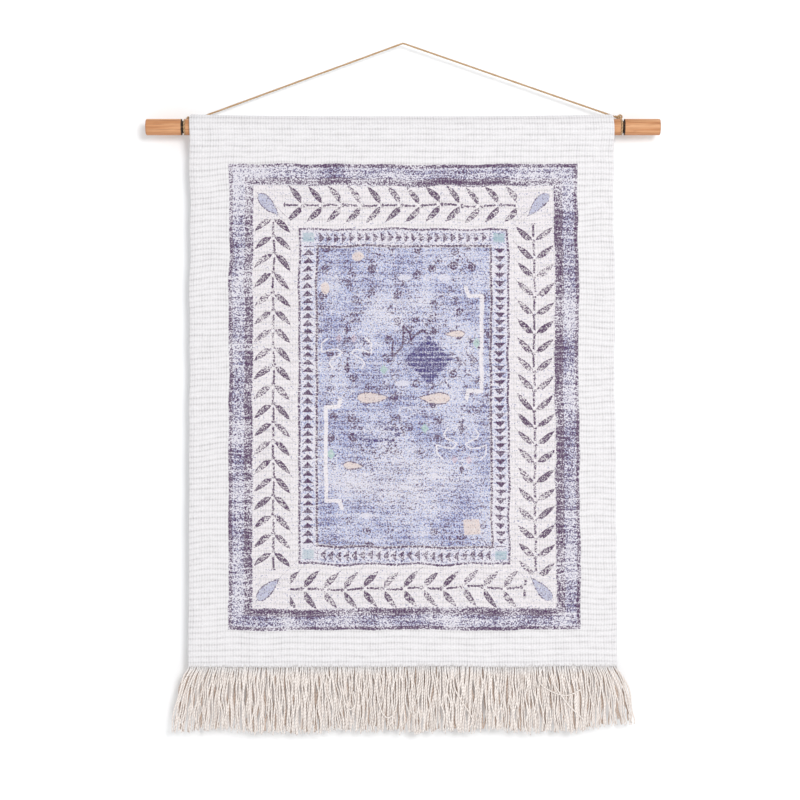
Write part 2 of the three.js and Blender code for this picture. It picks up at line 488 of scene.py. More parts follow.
def makeKnot(word, side, degrees, middleX, lift, inward, knotLong):
    low, high = boxOf(word + "_knot")
    centre = (low + high) / 2 + np.array([-side * inward, 0, lift])
    # An overhand knot, which is an open trefoil: sin a + 2 sin 2a along the dowel,
    # cos a - 2 cos 2a outward and -sin 3a across, from just past its lowest lobe all the
    # way round. The cord comes in from the cloth's side and goes down to its turn.
    out = np.array([0, math.sin(math.radians(degrees)), math.cos(math.radians(degrees))])
    flat = np.cross(out, (1, 0, 0))
    a = np.linspace(math.pi + 0.45, 3 * math.pi - 0.45, 60)[:, None]
    knot = (np.array([-side, 0, 0]) * (np.sin(a) + 2 * np.sin(2 * a)) * knotLong / 5.48
            + out * (np.cos(a) - 2 * np.cos(2 * a)) * tie["knotHigh"] / 4.2
            - flat * np.sin(3 * a) * tie["knotDeep"])
    step = np.linspace(0, 1, 6)[:, None]
    cordEnd = np.array(cord["route"][0 if side < 0 else -1]) * mm - centre
    turnTop = np.array([middleX, axisY, axisZ]) + tie["turnRadius"] * out - centre
    lead = cordEnd + (knot[0] - cordEnd) * step[:-1]
    down = knot[-1] + (turnTop - knot[-1]) * step[1:]
    body = smoothPath(np.concatenate([lead, knot, down]), 200)
    # its short tail sticks out behind
    tailway = flat + np.array([0.5 * side, 0, 0])
    tail = smoothPath(out * tie["tailFrom"] + tailway * tie["tailLong"] * step, 200)
    piece = yarnPiece(word + "Knot", centre + np.stack([body, tail]), cord["diameter"] / 2 * 0.95,
                      twineMaterial, sides=10, reference=flat, plies=2, twist=cord["twist"],
                      groove=0.22)
    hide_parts(word + "_knot")
    return piece


def makeTies():
    pieces = []
    for word, side, degrees, lift, inward, knotLong in tie["sides"]:
        low, high = boxOf(word + "_cord_turn")
        middleX = (low[0] + high[0]) / 2
        pieces.append(makeTurn(word, side, degrees, middleX))
        pieces.append(makeKnot(word, side, degrees, middleX, lift, inward, knotLong))
    for piece in pieces:
        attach(piece, "cord")
    return pieces


tiePieces = makeTies()
say("ties made")

wood = {
    "grooveX": 0.2174,  # from the middle, metres
    "rim": (0.2526, 0.2539),  # where the ends begin to darken, and where they are darkest
    "grooveShade": (0.0017, 0.0023),  # the painted groove shadow's edges, from a groove's middle
    "pale": colour(216, 163, 120),
    "warm": colour(196, 137, 93),
    "streak": colour(156, 102, 66),
    # near black: painted shadow for the deep cord grooves
    "grooveShadow": colour(18, 13, 11),
}


def makeDowelMaterial():
    material, tree, shader = newMaterial("bareDowelWood", 0.58, 0.35)
    m = Maths(tree)
    place = objectPlace(tree)
    x, y, z = split(tree, place)
    radius = m.length(m.sub(y, float(axisY)), m.sub(z, float(axisZ)))
    # long fibres, wider growth bands, and a few dark pores and flecks
    fibre = noise(tree, place, 640, (0.04, 1, 1), 4, 0.62)
    band = noise(tree, place, 260, (0.05, 1, 1), 2, 0.5, 3.0)
    patch = noise(tree, place, 42, (0.6, 1, 1), 2, 0.5, 7.0)
    fleck = noise(tree, place, 1050, (0.07, 1, 1), 1, 0.5, 11.0)
    shade = tint(tree, m.rise(band, 0.38, 0.62), wood["pale"], wood["warm"])
    shade = tint(tree, ramp(tree, fibre, 0.48, 0.7, 0.0, 0.72), shade, wood["streak"])
    shade = tint(tree, ramp(tree, fleck, 0.66, 0.76, 0.0, 0.7), shade, wood["streak"])
    shade = tint(tree, ramp(tree, patch, 0.45, 0.7, 0.0, 0.35), shade, wood["warm"])
    # end grain is darker, in rings, and so is the skin right at the rims
    endward = ramp(tree, m.size(x), *wood["rim"], 0.0, 0.55)
    rings = calc(tree, "SINE", m.mul(m.add(radius, m.mul(noise(tree, place, 300), 0.002)), 5200))
    endward = m.mul(endward, ramp(tree, rings, -1, 1, 0.7, 1.0))
    shade = tint(tree, endward, shade, wood["streak"])
    # painted shadow on the floor and walls of each groove, with a soft ragged edge
    beside = m.size(m.sub(m.size(x), wood["grooveX"]))
    ragged = m.mul(noise(tree, place, 700), 0.0006)
    grooveShade = m.fall(m.add(beside, ragged), *wood["grooveShade"])
    grooveShade = m.mul(grooveShade, ramp(tree, fibre, 0.3, 0.6, 0.75, 1.0))
    tree.links.new(tint(tree, grooveShade, shade, wood["grooveShadow"]), shader.inputs["Base Color"])
    tree.links.new(ramp(tree, fibre, 0.3, 0.7, 0.5, 0.72), shader.inputs["Roughness"])
    addBump(tree, shader, m.add(fibre, m.mul(fleck, 0.5)), 0.00012)
    return material


dowelMaterial = makeDowelMaterial()
for slotEntry in bpy.data.objects["dowel"].material_slots:
    slotEntry.material = dowelMaterial
say("dowel finished")

cloth = {
    "width": 0.42,
    "rib": 5.63,  # height of one weft rib, mm
    "warp": 2.63,  # between warp yarns, mm
    "reed": 7.9,  # three warps and the gap beside them, mm
    "crest": 1.32 * mm,  # half thickness on a rib
    "valley": 0.62 * mm,  # half thickness between ribs
    "seamDrop": 27 * mm,
    "pocketRadius": 10.55 * mm,
    "allowance": 9 * mm,
    "perRib": (0.0, 0.17, 0.5, 0.83),  # where the grid cuts each rib
    "columns": 106,
    "hem": 8 * mm,
    # where the two edges are at the top, how much wider the foot is, and how ragged they run
    "edges": (-0.2104, 0.2075),
    "spread": (1.6 * mm, 4.2 * mm),
    "ragged": 1.1 * mm,
    "wave": 1.1 * mm,
    "rowWander": 2.8 * mm,
    "rowDroop": 2.6 * mm,
}


def clothProfile():
    # Arc length and (y, z) of the cloth's middle, from its foot up the front, over the dowel
    # and down the back. y and z are from the dowel's axis. The straight parts touch the arc.
    radius = cloth["pocketRadius"]
    seam = -cloth["seamDrop"]
    foot = footZ - axisZ
    back = 2 * cloth["crest"] + 0.00015

    def touch(y, side):
        return math.atan2(seam, y) + side * math.acos(radius / math.hypot(y, seam))

    front = touch(0.0, -1) + 2 * math.pi
    rear = touch(back, 1)
    arc = np.linspace(front, rear, 60)
    legs = [np.array([[0.0, foot], [0.0, seam]]),
            np.stack([radius * np.cos(arc), radius * np.sin(arc)], 1),
            np.array([[back, seam], [back, seam - cloth["allowance"]]])]
    line = np.concatenate(legs)
    run = np.concatenate([[0], np.cumsum(np.linalg.norm(np.diff(line, axis=0), axis=1))])
    # even samples, then a little averaging to round the two bends at the seam
    even = np.linspace(0, run[-1], 3000)
    fine = np.stack([np.interp(even, run, line[:, n]) for n in range(2)], 1)
    window = np.hanning(31)
    window /= window.sum()
    padded = np.concatenate([np.repeat(fine[:1], 15, 0), fine, np.repeat(fine[-1:], 15, 0)])
    fine = np.stack([np.convolve(padded[:, n], window, "valid") for n in range(2)], 1)
    return even, fine


profileRun, profileLine = clothProfile()
clothLength = float(profileRun[-1])


def gentle(u, v, seed, waves, longest, shortest):
    # slow waves over the cloth, between -1 and 1
    rng = np.random.default_rng(seed)
    total = np.zeros(np.broadcast(u, v).shape)
    for _ in range(waves):
        length = rng.uniform(shortest, longest)
        angle = rng.uniform(0, 2 * np.pi)
        total = total + np.sin(2 * np.pi * (u * np.cos(angle) + v * np.sin(angle)) / length
                               + rng.uniform(0, 2 * np.pi)) / waves
    return total


def clothEdges(v):
    # the left and right edges at height v above the foot: straight, a little wider below
    down = np.clip(1 - v / 0.545, 0, 1)
    (left, right), (leftSpread, rightSpread) = cloth["edges"], cloth["spread"]
    left = left - leftSpread * down + cloth["ragged"] * gentle(v, 0.0, 31, 4, 0.12, 0.02)
    right = right + rightSpread * down + cloth["ragged"] * gentle(v, 0.0, 32, 4, 0.12, 0.02)
    return left, right


def clothWave(x, v):
    # how far the hanging cloth stands out of its own plane
    return cloth["wave"] * gentle(x, v, 41, 5, 0.42, 0.12) * np.clip((0.49 - v) / 0.2, 0, 1)


def footShape(x, u):
    # how far the cloth's foot rises above its lowest line
    rightCorner = 0.0035 * np.clip(u - 0.72, 0, 1) ** 1.5
    return 0.0011 * gentle(x, 0.0, 43, 5, 0.2, 0.03) + rightCorner - 0.0024


def clothPoint(u, v, offset):
    # the point at share u across and length v up, moved out along the profile's normal
    def profileAt(run):
        return [np.interp(run, profileRun, profileLine[:, n]) for n in range(2)]

    y, z = profileAt(v)
    (lowY, lowZ), (highY, highZ) = profileAt(v - 0.8 * mm), profileAt(v + 0.8 * mm)
    slopeY, slopeZ = highY - lowY, highZ - lowZ
    size = np.hypot(slopeY, slopeZ) + 1e-12
    outY, outZ = -slopeZ / size, slopeY / size
    left, right = clothEdges(v)
    x = left + (right - left) * u
    wave = clothWave(x, v)
    # over the dowel the cloth's middle lies a little lower than its ends
    top = np.clip((z + 0.004) / 0.012, 0, 1)
    lift = top * (-0.0010 + 0.0019 * np.abs(2 * u - 1) ** 3)
    foot = footShape(x, u) * np.clip(1 - v / 0.05, 0, 1)
    # the ribs themselves run a little up and down across the cloth, and droop at its left edge
    rows = (cloth["rowWander"] * gentle(x, v, 47, 8, 0.16, 0.04)
            - cloth["rowDroop"] * np.clip(1 - u / 0.09, 0, 1) ** 1.5)
    rows = rows * np.clip(v / 0.02, 0, 1) * np.clip((0.52 - v) / 0.03, 0, 1)
    height = axisZ + z + outZ * offset + lift + foot + rows
    return np.stack([x, axisY + y + outY * offset + wave, height], -1)


def makeClothMesh(material):
    # Two faces, half the thickness out on each side of the profile, joined by a rim. Half =
    # valley + (crest - valley) * sin(pi * share of rib)^0.55 * reed * puff, thinner at the rim.
    ribs = int(round(clothLength / mm / cloth["rib"]))
    rib = clothLength / ribs
    steps = (np.arange(ribs)[:, None] + np.array(cloth["perRib"])).ravel()
    steps = np.append(steps, ribs)
    columns = cloth["columns"]
    across = np.linspace(0, 1, columns + 1)
    across[1], across[-2] = 0.0035, 0.9965
    u, v0 = np.meshgrid(across, steps * rib)
    phase = np.mod(steps, 1.0)[:, None]
    x = (u - 0.5) * cloth["width"]
    rng = np.random.default_rng(51)
    # each rib wanders by a fraction of a millimetre, and its neighbours follow it
    drift = 0.55 * mm * gentle(x, v0 * 3.0, 52, 6, 0.16, 0.04)
    v = v0 + drift * np.clip(v0 / 0.01, 0, 1) * np.clip((clothLength - v0) / 0.01, 0, 1)
    crest = np.sin(np.pi * phase) ** 0.55
    reed = 0.5 - 0.5 * np.cos(2 * np.pi * x / (cloth["reed"] * mm))
    puff = 0.5 + 0.5 * rng.random((len(steps), 1)).repeat(columns + 1, 1)
    puff = 0.86 + 0.14 * puff * (0.6 + 0.4 * gentle(x, v0 * 9, 53, 6, 0.05, 0.012))
    swell = (cloth["crest"] - cloth["valley"]) * crest
    half = cloth["valley"] + swell * (0.78 + 0.22 * reed) * puff
    border = np.minimum(u, 1 - u) * cloth["width"]
    half = half * (0.28 + 0.72 * np.clip(border / 0.0014, 0, 1) ** 0.5)
    hem = np.clip((cloth["hem"] - border) / 0.0012, 0, 1) * np.clip((0.47 - v) / 0.004, 0, 1)
    endTaper = np.clip(np.minimum(v0, clothLength - v0) / 0.0012, 0, 1) ** 0.5
    half = half * (0.35 + 0.65 * endTaper)
    front = clothPoint(u, v, half)
    backing = clothPoint(u, v, -(half + 0.0009 * hem))
    rows, cols = u.shape
    points = np.concatenate([front.reshape(-1, 3), backing.reshape(-1, 3)])
    i, j = np.meshgrid(np.arange(rows - 1), np.arange(cols - 1), indexing="ij")
    a, b, c, d = i * cols + j, i * cols + j + 1, (i + 1) * cols + j + 1, (i + 1) * cols + j
    outside = np.stack([a, b, c, d], -1).reshape(-1, 4)
    far = rows * cols
    inside = np.stack([a, d, c, b], -1).reshape(-1, 4) + far
    # the rim joins the two faces all the way round
    rim = np.concatenate([np.arange(cols - 1), np.arange(rows - 1) * cols + cols - 1,
                          (rows - 1) * cols + np.arange(cols - 1, 0, -1),
                          np.arange(rows - 1, 0, -1) * cols])
    nextRim = np.roll(rim, -1)
    edge = np.stack([nextRim, rim, rim + far, nextRim + far], -1)
    faces = np.concatenate([outside, inside, edge])
    place = np.stack([x / mm, v0 / mm, np.zeros_like(x)], -1).reshape(-1, 3)
    under = place + np.array([0, 0, 1.0])
    return pieceFromArrays("printedCloth", points, faces.tolist(), material,
                           attributes={"clothPlace": np.concatenate([place, under])})


def makeWeaveGroup():
    # the rib weave on the flat cloth: x and y in mm, ribs along x, warps along y
    tree, given, out = startGroup(
        "ribWeave", [("Place", "Vector", None)],
        [("Height", "Float"), ("Valley", "Float"), ("Warp", "Float"), ("Grain", "Float")])
    m = Maths(tree)
    place = given["Place"]
    x, y, _ = split(tree, place)
    wobble = m.mul(m.sub(noise(tree, place, 0.05), 0.5), 1.6)
    strand = m.add(x, wobble)
    ribWave = m.humps(m.mul(y, math.pi / cloth["ribExact"]))
    warpWave = m.humps(m.mul(strand, math.pi / cloth["warp"]))
    reedWave = m.humps(m.mul(strand, math.pi / cloth["reed"]))
    grain = noise(tree, place, 0.9, (0.45, 1.3, 1), 3, 0.6)
    patchy = m.rise(noise(tree, place, 0.11, (0.5, 1.6, 1)), 0.3, 0.7)
    # a dark floor and a softer slope between two ribs, broken into dashes by the warps; the material paints
    # shade with these masks
    valley = m.add(ramp(tree, ribWave, 0.08, 0.5, 0.62, 0.0), ramp(tree, ribWave, 0.3, 0.98, 0.38, 0.0))
    warpLine = m.fall(warpWave, 0.0, 0.8)
    reedLine = m.fall(reedWave, 0.0, 0.34)
    lines = m.most(m.mul(warpLine, 0.7), reedLine)
    lines = m.mul(lines, m.add(0.35, m.mul(patchy, 0.65)))
    dashed = m.mul(valley, m.add(0.5, m.mul(warpLine, 0.5)))
    dashed = m.mul(dashed, m.add(0.55, m.mul(patchy, 0.45)))
    height = m.sub(m.sub(m.mul(grain, 0.5), m.mul(lines, 0.5)), m.mul(dashed, 0.5))
    for name, value in (("Valley", dashed), ("Warp", lines), ("Grain", grain), ("Height", height)):
        tree.links.new(value, out[name])
    return tree


cloth["ribExact"] = clothLength / mm / round(clothLength / mm / cloth["rib"])
weaveGroup = makeWeaveGroup()


def makePetalGroup():
    # A drop or leaf: from its round end at (Start X, Start Y) along (Aim X, Aim Y), a unit
    # direction, for Length. Half width = Width * s^Blunt * (1 - s)^Point, s the share of length.
    defaults = {"X": 0, "Y": 0, "Start X": 0, "Start Y": 0, "Aim X": 1, "Aim Y": 0, "Length": 20,
                "Width": 5, "Blunt": 0.5, "Point": 1.0}
    tree, given, out = startGroup("petalShape", [(n, "Float", v) for n, v in defaults.items()],
                                  [("Fill", "Float"), ("Edge", "Float")])
    m = Maths(tree)
    dx = m.sub(given["X"], given["Start X"])
    dy = m.sub(given["Y"], given["Start Y"])
    along = m.add(m.mul(dx, given["Aim X"]), m.mul(dy, given["Aim Y"]))
    share = m.div(along, given["Length"], clamp=True)
    aside = m.size(m.sub(m.mul(dx, given["Aim Y"]), m.mul(dy, given["Aim X"])))
    half = m.mul(calc(tree, "POWER", share, given["Blunt"]),
                 calc(tree, "POWER", m.sub(1.0, share), given["Point"]))
    inside = m.sub(m.mul(half, given["Width"]), aside)
    rim = m.fall(m.size(m.sub(inside, 0.35)), 0.45, 1.1)
    tree.links.new(m.rise(inside, 0.0, 0.7), out["Fill"])
    tree.links.new(m.mul(rim, m.rise(inside, -0.2, 0.0)), out["Edge"])
    return tree


petalGroup = makePetalGroup()


def makeStrokeGroup():
    # 1 within Half Width of the straight line from (X1, Y1) to (X2, Y2)
    defaults = {"X": 0, "Y": 0, "X1": 0, "Y1": 0, "X2": 1, "Y2": 0, "Half Width": 0.8}
    tree, given, out = startGroup("strokeShape", [(n, "Float", v) for n, v in defaults.items()],
                                  [("Fill", "Float")])
    m = Maths(tree)
    ex = m.sub(given["X2"], given["X1"])
    ey = m.sub(given["Y2"], given["Y1"])
    dx = m.sub(given["X"], given["X1"])
    dy = m.sub(given["Y"], given["Y1"])
    dot = m.add(m.mul(dx, ex), m.mul(dy, ey))
    square = m.add(m.mul(ex, ex), m.mul(ey, ey))
    share = m.div(dot, square, clamp=True)
    far = m.length(m.sub(dx, m.mul(ex, share)), m.sub(dy, m.mul(ey, share)))
    tree.links.new(m.fall(m.sub(far, given["Half Width"]), -0.5, 0.4), out["Fill"])
    return tree


strokeGroup = makeStrokeGroup()

# in mm. Places are x and y from the print's middle.
prints = {
    "centre": (1.7, 265.5),  # from the flat cloth's middle, and up from its foot
    "outer": (173.4, 230.9),  # the band's outer edges
    "band": 23.4,  # the band's width as the pattern counts it
    "bandWide": (24.3, 22.6),  # and as it really is, at the sides and at the top and foot
    "frame": (103.9, 166.0),  # the inner frame's outer edges
    "frameLine": (-0.2, 2.0),  # its outer line's two edges, in from there
    "strip": (16.8, 19.2),  # its inner line's two edges
    "stripMiddle": (94.7, 156.7),
    "toothPitch": 7.7,
    "beadPitch": 3.85,
    "square": (5.2, 4.2),  # half sizes of the teal squares in the frame's corners
    "wornCorner": (-158.0, 214.0),
    "white": colour(235, 233, 235),
    "cream": colour(235, 229, 232),
    "lavenderWhite": colour(225, 221, 230),
    "blue": colour(158, 173, 216),
    "deepBlue": colour(114, 130, 190),
    "plum": colour(72, 38, 80),
    "indigo": colour(58, 46, 112),
    "slate": colour(178, 182, 212),
    "teal": colour(138, 172, 182),
    "peach": colour(226, 206, 194),
    "moss": colour(158, 194, 182),
    "rose": colour(214, 186, 202),
}


class Shapes(Maths):
    # the shapes of the print, each drawn round its own x and y
    def __init__(self, tree, x, y):
        super().__init__(tree)
        self.x = x
        self.y = y

    def petal(self, start, aim, length, width, blunt=0.5, point=1.0):
        span = math.hypot(*aim)
        return useGroup(self.tree, petalGroup, **{
            "X": self.x, "Y": self.y, "Start X": float(start[0]), "Start Y": float(start[1]),
            "Aim X": aim[0] / span, "Aim Y": aim[1] / span, "Length": float(length),
            "Width": float(width), "Blunt": blunt, "Point": point})

    def oval(self, x0, y0, wide, high):
        return self.petal((x0 - wide, y0), (1, 0), 2 * wide, 2 * high, 0.5, 0.5)

    def lozenge(self, x0, y0, wide, high):
        near = self.add(self.div(self.size(self.sub(self.x, x0)), wide),
                        self.div(self.size(self.sub(self.y, y0)), high))
        return self.fall(near, 0.85, 1.12)

    def box(self, x0, y0, wide, high):
        return self.mul(self.fall(self.size(self.sub(self.x, x0)), wide, wide + 0.8),
                        self.fall(self.size(self.sub(self.y, y0)), high, high + 0.8))

    def lines(self, points, half):
        strokes = []
        for (x1, y1), (x2, y2) in zip(points[:-1], points[1:]):
            strokes.append(useGroup(self.tree, strokeGroup, **{
                "X": self.x, "Y": self.y, "X1": float(x1), "Y1": float(y1),
                "X2": float(x2), "Y2": float(y2), "Half Width": float(half)})["Fill"])
        return self.most(*strokes)


def makePlaceGroup():
    # where a point lies in the print: x and y from the middle, the distances in from the band's and
    # the frame's edges, and the run along the border, clockwise. The edges wander with the yarns.
    tree, given, out = startGroup(
        "printPlace", [("Place", "Vector", None)],
        [(name, "Float") for name in
         ("X", "Y", "Deep", "Frame Deep", "Flat", "Along", "Speck", "Dense")])
    m = Maths(tree)
    place = given["Place"]
    rawX, rawY, _ = split(tree, place)

    def ragged(shift):
        return m.add(m.mul(m.sub(noise(tree, place, 0.03, shift=shift), 0.5), 3.0),
                     m.mul(m.sub(noise(tree, place, 0.8, shift=shift + 2.0), 0.5), 1.6))

    x = m.add(m.sub(rawX, prints["centre"][0]), ragged(2.0))
    y = m.add(m.sub(rawY, prints["centre"][1]), ragged(9.0))
    insideX = m.mul(m.sub(prints["outer"][0], m.size(x)), prints["band"] / prints["bandWide"][0])
    insideY = m.mul(m.sub(prints["outer"][1], m.size(y)), prints["band"] / prints["bandWide"][1])
    frameX = m.sub(m.size(x), prints["frame"][0])
    frameY = m.sub(m.size(y), prints["frame"][1])
    flat = m.rise(m.sub(frameY, frameX), -0.5, 0.5)
    alongFlat = m.mul(x, m.sign(y))
    alongUp = m.mul(m.mul(y, m.sign(x)), -1.0)
    # speckle of the yarns' crowns, and wear in blots and streaks
    dots = noise(tree, place, 0.85, (1.0, 0.8, 1), 2, 0.65, 1.0)
    dashes = noise(tree, place, 0.8, (0.5, 1.5, 1), 2, 0.5, 5.0)
    speck = m.rise(m.add(m.mul(dots, 0.6), m.mul(dashes, 0.4)), 0.36, 0.64)
    blot = noise(tree, place, 0.024, detail=3, shift=8.0)
    rowStreak = noise(tree, place, 0.1, (0.16, 1.3, 1), 3, 0.6, 6.0)
    warpStreak = noise(tree, place, 0.1, (1.3, 0.16, 1), 3, 0.6, 12.0)
    wear = m.add(m.mul(blot, 0.5), m.add(m.mul(rowStreak, 0.33), m.mul(warpStreak, 0.17)))
    # the upper left corner is the most worn
    cornerX, cornerY = prints["wornCorner"]
    fromCorner = m.add(m.size(m.mul(m.sub(x, cornerX), 0.025)), m.size(m.mul(m.sub(y, cornerY), 0.03)))
    wear = m.sub(wear, m.mul(m.fall(fromCorner, 0.3, 1.6), 0.14))
    results = {
        "X": x, "Y": y, "Deep": calc(tree, "MINIMUM", insideX, insideY),
        "Frame Deep": m.mul(m.most(frameX, frameY), -1.0), "Flat": flat,
        "Along": m.add(m.mul(alongFlat, flat), m.mul(alongUp, m.sub(1.0, flat))),
        "Speck": speck, "Dense": m.rise(wear, 0.37, 0.61)}
    for name, value in results.items():
        tree.links.new(value, out[name])
    return tree


def placeInputs():
    return [(name, "Float", 0.0) for name in ("X", "Y", "Deep", "Frame Deep", "Flat", "Along", "Dense")]


# in mm: the value for the sides, then the value for the top and foot
vines = {
    "stemAt": (128.7, 189.0),
    "leafPitch": (18.4, 19.57),
    "leafShift": (10.9, -1.35),
    "from": (-172.0, -119.3),  # where a row starts and ends, along the border
    "to": (176.5, 112.8),
    # the drop in a corner: its round end, the way it points, its Length and its Width
    "drop": ((144.0, 199.6), (-21, -20.2), 29.2, 14.8),
}


def makeVineGroup():
    # how much ink the vines take: a stem down each side with a pair of leaves at every node, a cross
    # bar at each node, and a drop in every corner
    tree, given, out = startGroup("vinePrint", placeInputs() + [("Place", "Vector", None)],
                                  [("Ink", "Float"), ("Drop", "Float")])
    m = Maths(tree)
    flat = given["Flat"]
    along = given["Along"]
    stemX, stemY = vines["stemAt"]
    aside = m.add(m.mul(m.sub(m.size(given["Y"]), stemY), flat),
                  m.mul(m.sub(m.size(given["X"]), stemX), m.sub(1.0, flat)))
    far = m.size(aside)
    outer = m.rise(aside, -0.5, 0.5)
    pitch = m.mix(flat, *vines["leafPitch"])
    shift = m.sub(m.mix(flat, *vines["leafShift"]), m.mul(m.mul(m.sign(given["Y"]), 2.0), flat))
    cell = m.sub(calc(tree, "WRAP", m.sub(along, shift), pitch, 0.0), pitch)
    inReach = m.mul(m.rise(m.sub(along, m.mix(flat, *vines["from"])), 0.0, 0.5),
                    m.rise(m.sub(m.mix(flat, *vines["to"]), along), 0.0, 0.5))
    channel = m.mul(m.rise(given["Deep"], 22.6, 23.6), m.fall(given["Frame Deep"], -1.5, -0.5))
    # leaves bow a little: the far end droops by the square of its distance from the stem
    bow = m.mul(calc(tree, "POWER", far, 2.0), 0.008)
    leaf = useGroup(tree, petalGroup, **{
        "X": m.add(cell, m.sub(bow, 1.2)), "Y": far, "Start X": m.mix(outer, -13.0, -11.0),
        "Start Y": m.mix(outer, 16.2, 18.8), "Aim X": m.mix(outer, 0.66, 0.54),
        "Aim Y": m.mix(outer, -0.751, -0.842), "Length": 19.8, "Width": 8.4, "Blunt": 0.8,
        "Point": 0.66})
    faint = m.rise(noise(tree, given["Place"], 0.045, (1, 1, 1), 2, 0.6, 50.0), 0.34, 0.6)
    leafInk = m.mul(m.most(m.mul(leaf["Fill"], 0.86), leaf["Edge"]), m.add(0.62, m.mul(faint, 0.42)))
    stemInk = m.mul(m.fall(far, 0.7, 1.4), m.add(0.55, m.mul(m.rise(cell, -16.5, -14.0), 0.4)))
    stemInk = m.mul(stemInk, m.fall(cell, -3.6, -2.4))
    bar = m.mul(m.within(cell, -18.2, -15.8, 0.4), m.fall(far, 1.6, 2.4))
    stemInk = m.mul(m.most(stemInk, m.mul(bar, 0.8)), m.add(0.66, m.mul(faint, 0.36)))
    vine = m.mul(m.mul(inReach, channel), m.fall(far, 20.5, 21.0))
    drop = Shapes(tree, m.size(given["X"]), m.size(given["Y"])).petal(*vines["drop"])
    ink = m.most(m.mul(vine, m.most(leafInk, stemInk)), m.mul(drop["Edge"], 0.66),
                 m.mul(drop["Fill"], 0.2))
    tree.links.new(ink, out["Ink"])
    tree.links.new(drop["Fill"], out["Drop"])
    return tree


def makeFrameGroup():
    # how much ink the inner frame takes: two dotted lines with a row of small triangles between
    tree, given, out = startGroup("framePrint", placeInputs(),
                                  [("Ink", "Float"), ("Strip", "Float"), ("Square", "Float")])
    m = Maths(tree)
    flat = given["Flat"]
    deep = given["Frame Deep"]
    middleX, middleY = prints["stripMiddle"]
    aside = m.size(m.add(m.mul(m.sub(m.size(given["Y"]), middleY), flat),
                         m.mul(m.sub(m.size(given["X"]), middleX), m.sub(1.0, flat))))
    strip = m.within(deep, 0.0, prints["strip"][0])
    lines = m.most(m.within(deep, *prints["frameLine"], 0.3), m.within(deep, *prints["strip"], 0.3))
    bead = m.humps(m.mul(given["Along"], math.pi / prints["beadPitch"]))
    lines = m.mul(lines, m.add(0.62, m.mul(m.rise(bead, 0.25, 0.7), 0.38)))
    tooth = calc(tree, "WRAP", given["Along"], prints["toothPitch"], 0.0)
    slope = m.sub(m.mul(m.sub(6.3, tooth), 0.98), aside)
    teeth = m.mul(m.rise(slope, 0.0, 0.4), m.rise(tooth, 0.2, 0.6))
    square = Shapes(tree, m.size(given["X"]), m.size(given["Y"]))
    clear = square.box(middleX, middleY, 8.4, 8.4)
    teeth = m.mul(m.mul(teeth, strip), m.sub(1.0, clear))
    # the two side strips are printed darker than the top and the foot
    weight = m.mix(flat, 1.2, 0.88)
    ink = m.most(m.mul(lines, 0.98), m.mul(teeth, weight), m.mul(strip, m.mix(flat, 0.16, 0.24)))
    tree.links.new(m.mul(ink, m.add(0.72, m.mul(given["Dense"], 0.34))), out["Ink"])
    tree.links.new(strip, out["Strip"])
    tree.links.new(square.box(middleX, middleY, *prints["square"]), out["Square"])
    return tree


# in mm from the field's middle. Lozenges, ovals and squares are x, y, half width and half height.
# What is called turned shows twice: once as it is here, and once turned half round.
marks = {
    "shiftDown": 1.9,  # how far the field's middle lies below the print's
    "diamond": (24.6, 38.2, 25.6, 27.0),
    "wornDiamond": (-25.2, -36.0, 27.0, 17.0),
    "zigzag": [(-10.5, 57.6), (-10.7, 42.1), (-0.6, 52.9), (-0.8, 72.0), (6.0, 66.0), (7.2, 58.2),
               (11.4, 63.6), (18.0, 68.4), (23.4, 64.8), (27.0, 59.5)],
    "curl": [(25.0, 16.5), (32.0, 11.6), (40.0, 16.4), (45.5, 10.0)],
    "spray": [(45.0, 18.0), (52.0, 28.0), (61.0, 37.0), (61.4, 25.0)],
    "flowerPitch": 21.0,
    "turnedDrops": [((45.5, 0), (-1, 0), 31, 15.2), ((60, 64.4), (-1, 0), 21, 10.5)],
    "peachOvals": [(-45.3, 139.8, 6.0, 4.8), (-77.0, 109.4, 4.2, 6.2)],
    "paleOvals": [(0.6, 120.0, 6.4, 3.4), (40.5, 119.5, 6.6, 3.6), (-36.8, -117.4, 6.4, 3.4),
                  (-1.8, 12.7, 8.0, 3.6)],
    "paleRing": (1.8, -13.5, 7.0, 5.0),
    "tiltedSquare": (60.3, -129.3, 7.6, 7.0),
    "turnedLozenges": [(20.3, -28.6, 4.2, 5.4), (71.8, 54.8, 4.2, 5.6)],
    "bracket": [(61.4, 110.0), (64.2, 102.0), (76.9, 101.4), (76.9, 7.6), (63.8, 7.2), (62.2, 0.5)],
    # one half of the scroll, from the scroll's own middle
    "scrollAt": (56.2, -45.0),
    "scroll": [(18.6, -15.0), (24.6, -10.2), (24.6, -1.2), (17.4, -3.6), (9.0, -4.2), (4.2, 0.0),
               (9.0, 3.2), (15.0, 5.4), (17.4, 10.2), (13.8, 15.6)],
    "rose": (7.2, -15.0, 3.4, 4.4),
    "buds": [(0.0, 15.5, 3.4, 7.0), (0.0, -23.5, 2.6, 5.5)],
}


